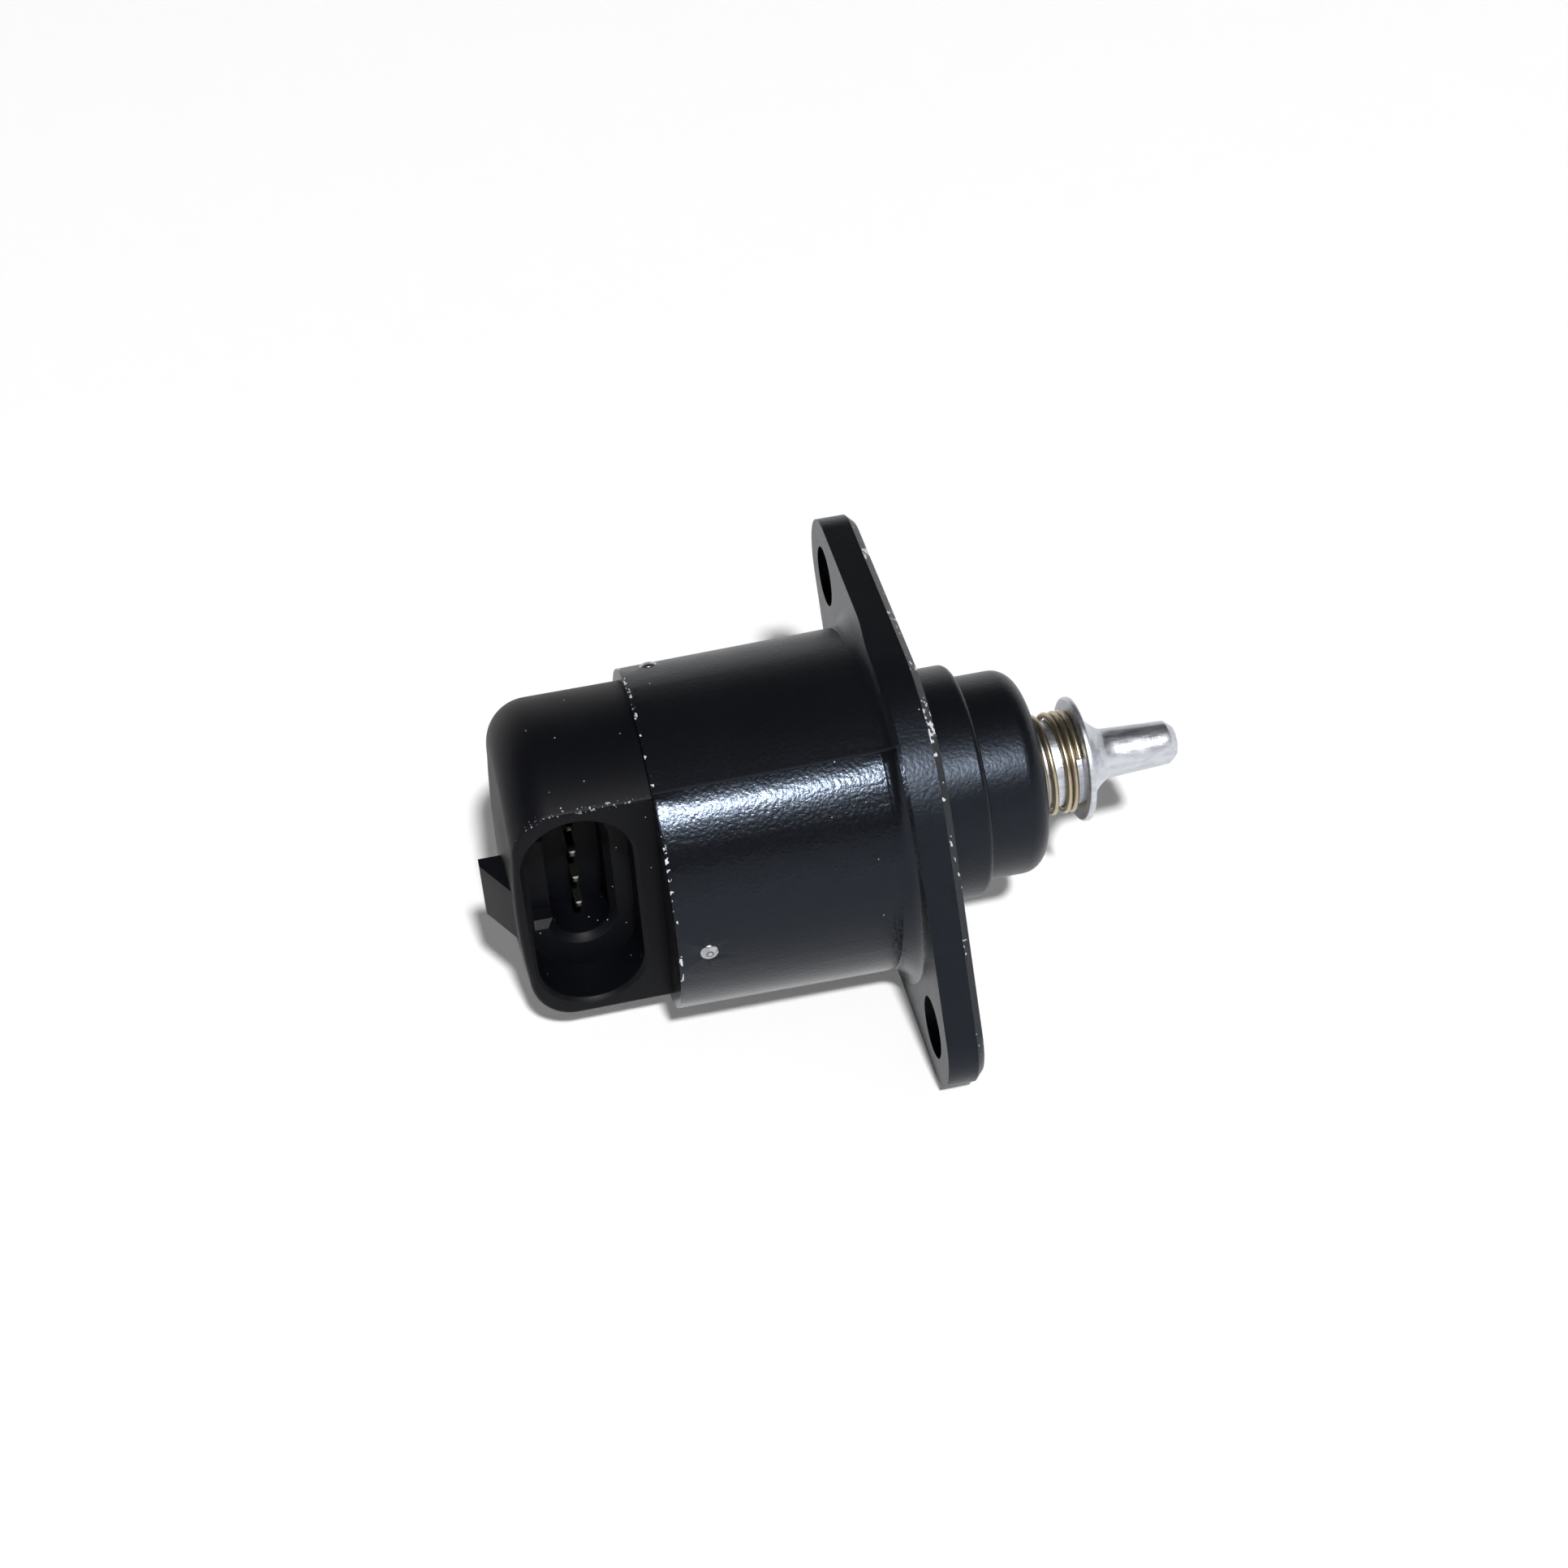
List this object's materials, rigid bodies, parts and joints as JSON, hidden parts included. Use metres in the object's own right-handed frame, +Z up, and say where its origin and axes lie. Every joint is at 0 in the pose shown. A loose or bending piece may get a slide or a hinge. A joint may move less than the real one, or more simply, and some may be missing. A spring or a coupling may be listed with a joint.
{
  "type": "idle air control valve",
  "caption": "Idle air control valve: stepper motor in a flanged can drives a sprung tapered pintle in and out of the nose; plug socket in the side of the rear cap.",
  "frame": {"origin": "centre of the flange's mounting face, on the motor axis", "axes": "+X along the motor axis towards the pintle, +Z up as the valve lies on one straight side of its flange, socket opens towards -Y"},
  "size_m": [0.0625, 0.0472, 0.0316],
  "materials": {
    "cast_black": "satin black on die-cast metal",
    "cap_plastic": "moulded, satin",
    "seal_rubber": "smooth",
    "pin_steel": "bright",
    "contact_metal": "tinned, bright",
    "stator_steel": "zinc plated sheet",
    "bobbin_plastic": "natural moulding",
    "coil_copper": "enamelled copper wire",
    "rotor_plastic": "moulded",
    "magnet_ferrite": "ground ferrite",
    "bearing_steel": "ground and polished",
    "bush_brass": "sintered",
    "spring_wire": "drawn wire, gold tint",
    "screw_steel": "rolled",
    "pintle_aluminium": "turned, bright"
  },
  "bodies": {
    "housing": {"housing": "cast_black", "connector_cap": "cap_plastic", "cap_seal": "seal_rubber", "retaining_pins": "pin_steel", "terminal_1": "contact_metal", "terminal_2": "contact_metal", "terminal_3": "contact_metal", "terminal_4": "contact_metal", "stator_cup_rear": "stator_steel", "pole_plate_rear": "stator_steel", "bobbin_rear": "bobbin_plastic", "coil_rear": "coil_copper", "stator_cup_front": "stator_steel", "pole_plate_front": "stator_steel", "bobbin_front": "bobbin_plastic", "coil_front": "coil_copper", "bearing_outer_race": "bearing_steel", "rear_bush": "bush_brass", "preload_washer": "screw_steel", "screw_guide": "rotor_plastic", "spring": "spring_wire"},
    "rotor": {"rotor_hub": "rotor_plastic", "rotor_magnet": "magnet_ferrite", "bearing_inner_race": "bearing_steel"},
    "ball_cage": {"bearing_cage": "bush_brass", "bearing_balls": "bearing_steel"},
    "plunger": {"lead_screw": "screw_steel", "pintle": "pintle_aluminium"}
  },
  "joints": [
    {"name": "rotor_spin", "type": "hinge", "parent": "housing", "child": "rotor", "pos_m": [0, 0, 0], "axis": [1, 0, 0], "range_deg": [-2520, 360]},
    {"name": "cage_spin", "type": "hinge", "parent": "housing", "child": "ball_cage", "pos_m": [0, 0, 0], "axis": [1, 0, 0], "range_deg": [-1019.51, 146.5]},
    {"name": "pintle_slide", "type": "slide", "parent": "housing", "child": "plunger", "axis": [1, 0, 0], "range_m": [-0.00101, 0.00701], "deforming": ["spring"]}
  ],
  "couplings": [
    {"joint": "cage_spin", "follows": "rotor_spin", "ratio": 0.40417},
    {"joint": "pintle_slide", "follows": "rotor_spin", "m_per_rad": -0.00015915}
  ]
}
